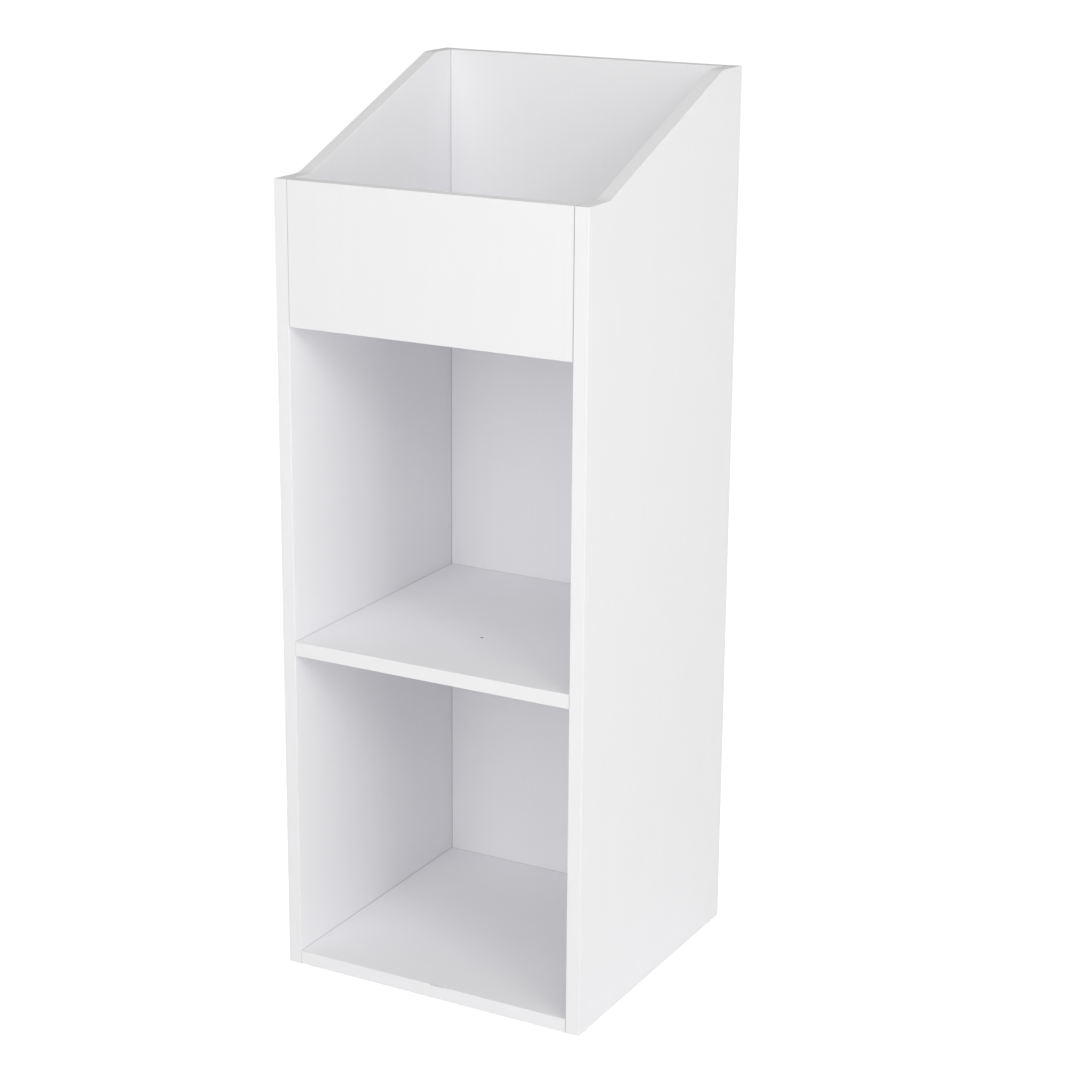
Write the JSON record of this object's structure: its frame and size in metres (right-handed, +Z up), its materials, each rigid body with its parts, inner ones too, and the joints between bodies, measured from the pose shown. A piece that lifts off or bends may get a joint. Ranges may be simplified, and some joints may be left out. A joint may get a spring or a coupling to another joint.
{
  "type": "book drop box",
  "caption": "Tall open cabinet for returned books: an open-topped bin with sloping sides above open-fronted shelf compartments, made of flat-pack boards.",
  "frame": {"origin": "on the floor, below the middle of the cabinet's width and depth", "axes": "+Z up; +X across the width, to the right of someone facing the open front; the open front faces -Y"},
  "size_m": [0.372, 0.356, 1.003],
  "materials": {
    "white_board": "satin",
    "edge_band_plastic": "satin",
    "cam_zinc": "satin",
    "bolt_steel": "satin",
    "dowel_beech": "matte",
    "cap_plastic": "satin",
    "glide_plastic": "matte",
    "nail_steel": "satin"
  },
  "bodies": {
    "root": {"back_board": "white_board", "back_board_cam_bolts": "bolt_steel", "back_board_cam_caps": "cap_plastic", "back_board_cam_locks": "cam_zinc", "back_board_side_dowels": "dowel_beech", "back_board_top_edge_band": "edge_band_plastic", "bin_floor_board": "white_board", "bin_floor_cam_bolts": "bolt_steel", "bin_floor_cam_locks": "cam_zinc", "bin_floor_front_dowels": "dowel_beech", "bin_floor_rear_dowels": "dowel_beech", "bin_floor_side_dowels": "dowel_beech", "bin_front_board": "white_board", "bin_front_bottom_edge_band": "edge_band_plastic", "bin_front_cam_bolts": "bolt_steel", "bin_front_cam_caps": "cap_plastic", "bin_front_cam_locks": "cam_zinc", "bin_front_side_dowels": "dowel_beech", "bin_front_top_edge_band": "edge_band_plastic", "bottom_board": "white_board", "bottom_board_cam_bolts": "bolt_steel", "bottom_board_cam_locks": "cam_zinc", "bottom_board_front_edge_band": "edge_band_plastic", "bottom_board_rear_dowels": "dowel_beech", "bottom_board_side_dowels": "dowel_beech", "glide_nails": "nail_steel", "glide_pads": "glide_plastic", "left_side_board": "white_board", "left_side_front_edge_band": "edge_band_plastic", "left_side_rear_edge_band": "edge_band_plastic", "left_side_top_edge_band": "edge_band_plastic", "middle_shelf_board": "white_board", "middle_shelf_cam_bolts": "bolt_steel", "middle_shelf_cam_locks": "cam_zinc", "middle_shelf_front_edge_band": "edge_band_plastic", "middle_shelf_rear_dowels": "dowel_beech", "middle_shelf_side_dowels": "dowel_beech", "right_side_board": "white_board", "right_side_front_edge_band": "edge_band_plastic", "right_side_rear_edge_band": "edge_band_plastic", "right_side_top_edge_band": "edge_band_plastic"}
  },
  "joints": []
}
